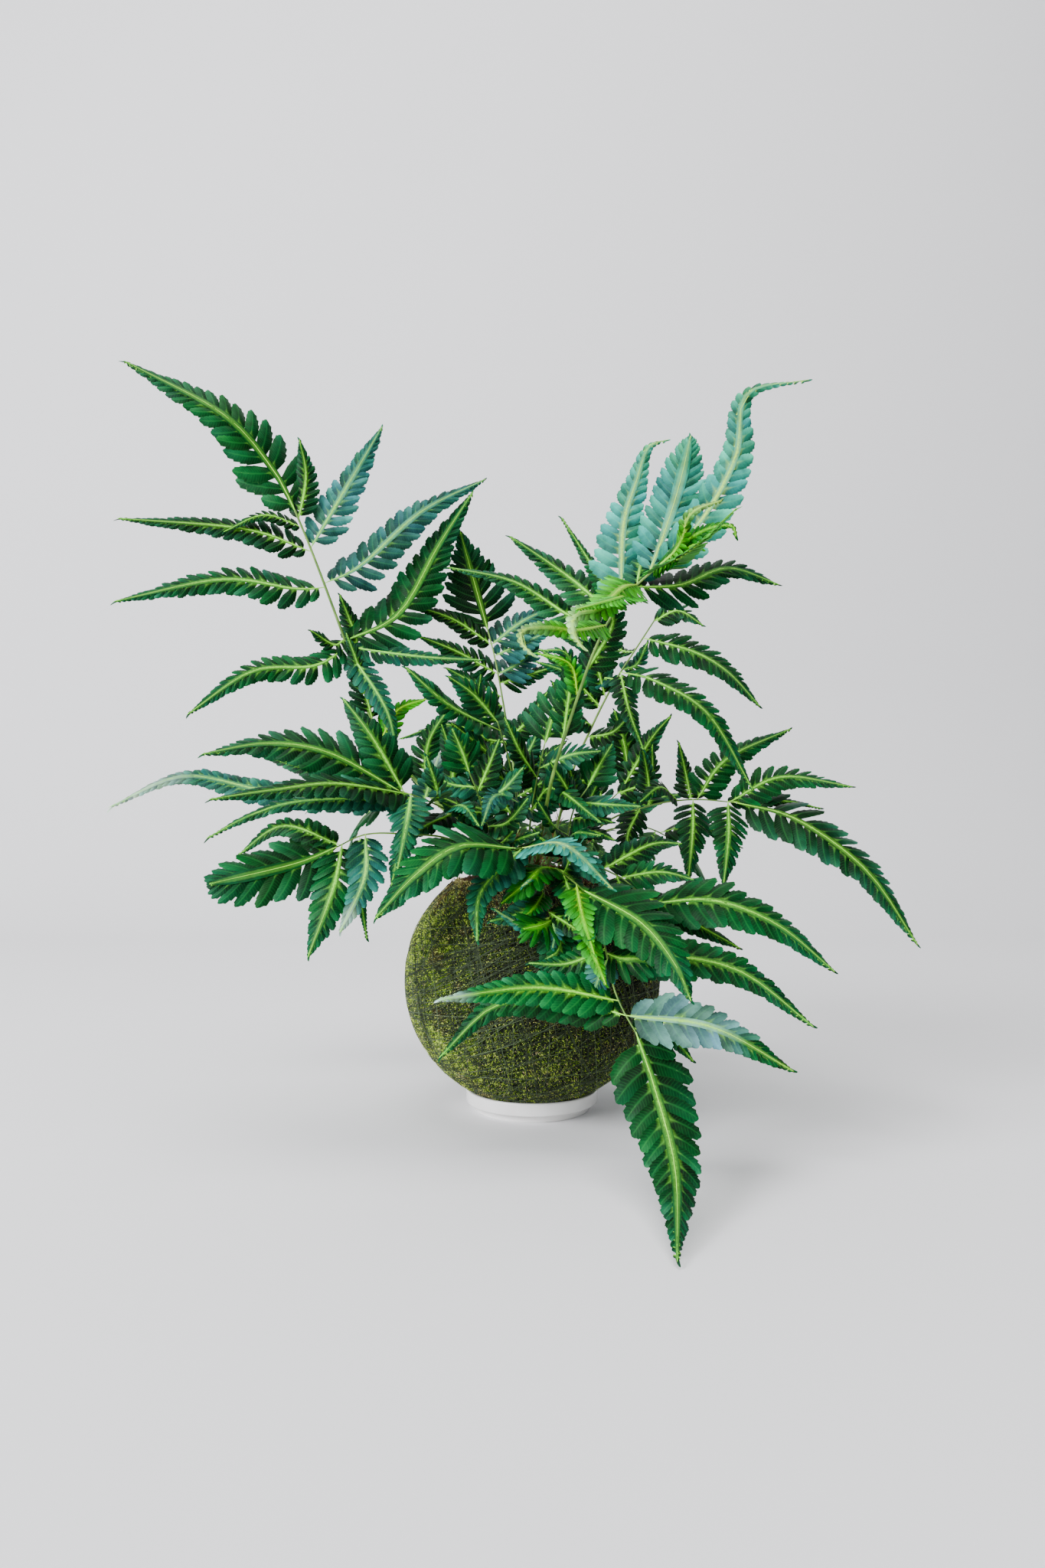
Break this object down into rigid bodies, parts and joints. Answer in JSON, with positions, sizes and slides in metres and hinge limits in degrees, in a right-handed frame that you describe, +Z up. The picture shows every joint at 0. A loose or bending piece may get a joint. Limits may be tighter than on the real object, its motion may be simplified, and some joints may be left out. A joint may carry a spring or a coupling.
{
  "type": "kokedama fern",
  "caption": "Moss-wrapped ball of soil bound with thread on a small white dish, with arching fern fronds whose leaflets are deep green with a light green middle stripe.",
  "frame": {"origin": "centre of the dish's flat foot, where the part rests on its surface", "axes": "+Z up, +Y towards the plant's back, +X to the right seen from the front"},
  "size_m": [0.5171, 0.4743, 0.5142],
  "materials": {
    "glaze": "gloss",
    "moss": "matte",
    "soil": "matte",
    "thread": "matte",
    "leaf": "satin"
  },
  "bodies": {
    "root": {"dish": "glaze", "moss_layer": "moss", "soil_ball": "soil", "binding_thread": "thread", "frond_upper_left": "leaf", "frond_left": "leaf", "frond_lower_left": "leaf", "frond_back_left": "leaf", "frond_centre_left": "leaf", "frond_centre": "leaf", "frond_upper_right": "leaf", "frond_right_high": "leaf", "frond_right_back": "leaf", "frond_right": "leaf", "frond_lower_right": "leaf", "frond_front_right": "leaf", "frond_front_trailing": "leaf", "frond_front_left": "leaf", "frond_front_low": "leaf", "frond_back_high": "leaf", "frond_back_left_low": "leaf", "frond_back_low": "leaf", "frond_back_right_low": "leaf", "frond_young_left": "leaf", "frond_young_right": "leaf"}
  },
  "joints": []
}
